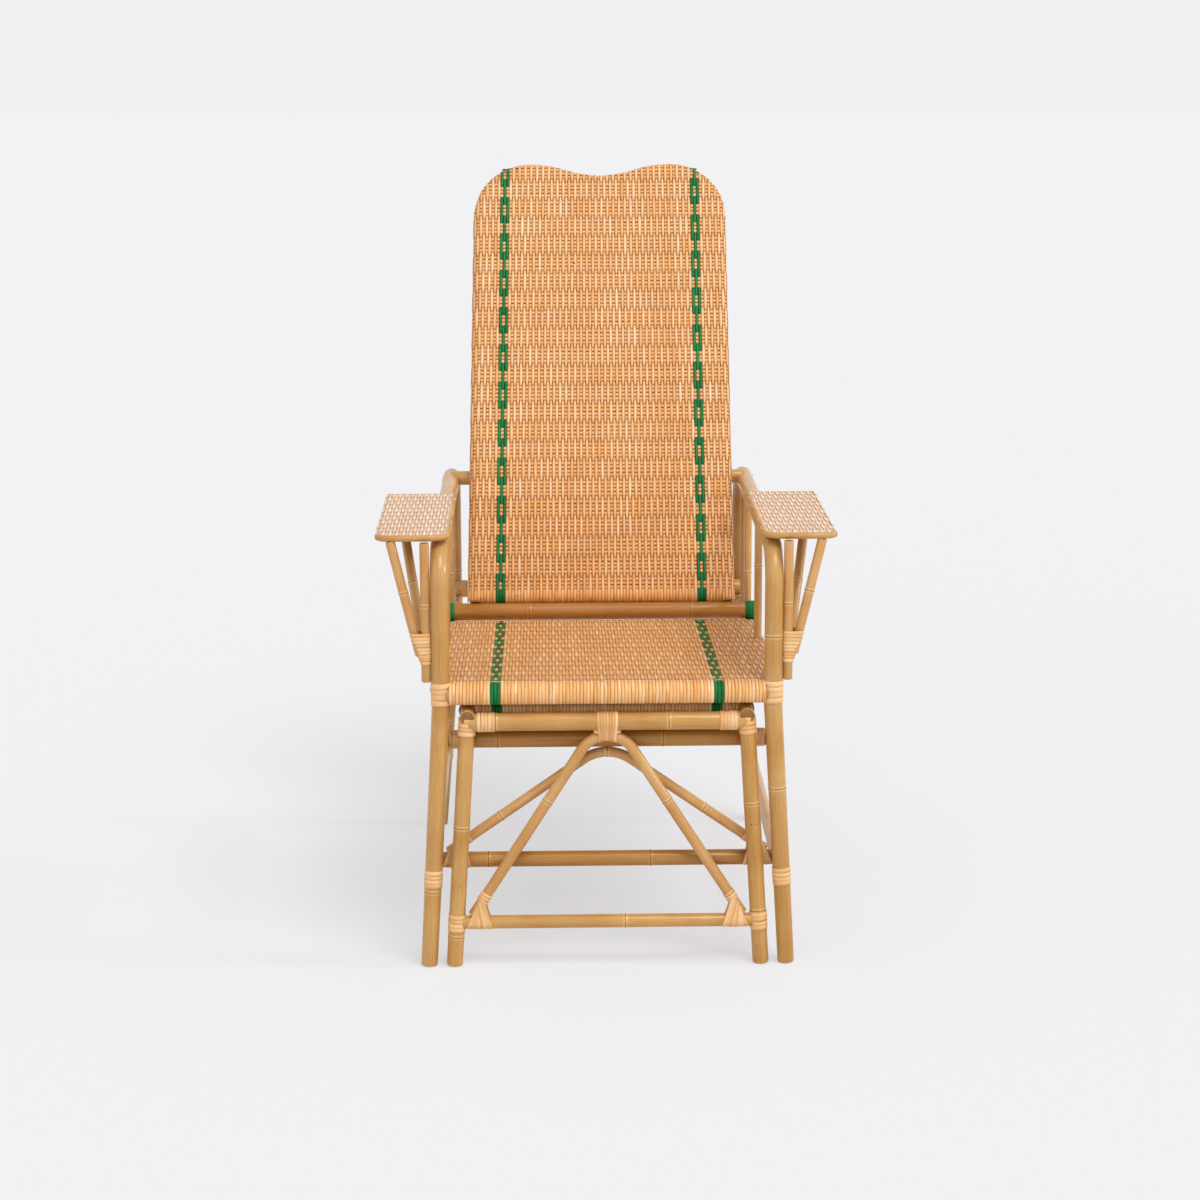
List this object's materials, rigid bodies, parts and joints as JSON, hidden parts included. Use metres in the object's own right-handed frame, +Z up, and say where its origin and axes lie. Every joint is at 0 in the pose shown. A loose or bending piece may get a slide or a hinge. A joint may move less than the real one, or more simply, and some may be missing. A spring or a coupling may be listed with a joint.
{
  "type": "rattan lounge chair",
  "caption": "Rattan pole lounge chair with a woven seat, a reclining humped back that folds forward, a pull-out woven footrest and a small woven tray over each arm.",
  "frame": {"origin": "on the floor, under the middle of the chair's bounding box with the footrest pushed in and the back leaning on its bar", "axes": "+Z up, +X towards the sitter's left hand, -Y towards the way the chair faces"},
  "size_m": [0.673, 0.8667, 1.1301],
  "materials": {
    "pole": "satin varnished rattan pole",
    "rod": "satin thin rattan rod",
    "smoked_pole": "satin darker varnished rattan pole",
    "weave": "satin woven cane strips",
    "peel": "satin peel strips wound side by side",
    "green_peel": "dyed green peel strips",
    "steel": "plain zinc screw"
  },
  "bodies": {
    "frame": {"side_hoop_left": "pole", "side_hoop_right": "pole", "seat_front_rail": "pole", "seat_side_rail_left": "pole", "seat_side_rail_right": "pole", "seat_rear_rail": "pole", "seat_support_rods": "rod", "seat_weave": "weave", "rear_crossbar": "pole", "recline_bar": "smoked_pole", "recline_bar_screws": "steel", "slide_bar": "pole", "slide_bar_screws": "steel", "slide_bar_wraps": "peel", "front_low_crossbar": "pole", "side_stretcher_left": "rod", "side_stretcher_right": "rod", "front_arch_brace": "rod", "arch_foot_lashings": "peel", "arm_spindles_left": "rod", "arm_spindles_right": "rod", "front_seat_lashings": "peel", "rear_seat_lashings": "peel", "front_low_lashings": "peel", "rear_low_lashings": "peel", "hinge_bindings": "green_peel", "tray_rim_left": "pole", "tray_rim_right": "pole", "tray_rod_left": "rod", "tray_rod_right": "rod", "tray_weave_left": "weave", "tray_weave_right": "weave", "tray_post_left": "rod", "tray_post_right": "rod", "tray_front_strut_left": "rod", "tray_front_strut_right": "rod", "tray_rear_strut_left": "rod", "tray_rear_strut_right": "rod", "strut_lashings": "peel"},
    "back": {"pivot_bar": "smoked_pole", "back_hoop": "pole", "back_bottom_rail": "pole", "back_cross_rails": "rod", "back_weave": "weave", "back_screws": "steel"},
    "footrest": {"footrest_leg_left": "pole", "footrest_leg_right": "pole", "footrest_runner_left": "pole", "footrest_runner_right": "pole", "footrest_front_bar": "pole", "footrest_panel_rails": "rod", "footrest_stop_bar": "rod", "footrest_weave": "weave", "footrest_low_bar": "pole", "footrest_arch_brace": "rod", "footrest_arch_lashings": "peel", "footrest_corner_lashings": "peel", "footrest_bar_wraps": "peel", "footrest_centre_lashing": "peel", "footrest_low_lashings": "peel"}
  },
  "joints": [
    {"name": "back_hinge", "type": "hinge", "parent": "frame", "child": "back", "pos_m": [0, 0.05424, 0.43505], "axis": [1, 0, 0], "range_deg": [0, 105]},
    {"name": "footrest_slide", "type": "slide", "parent": "frame", "child": "footrest", "axis": [0, -1, 0], "range_m": [0, 0.38]}
  ]
}
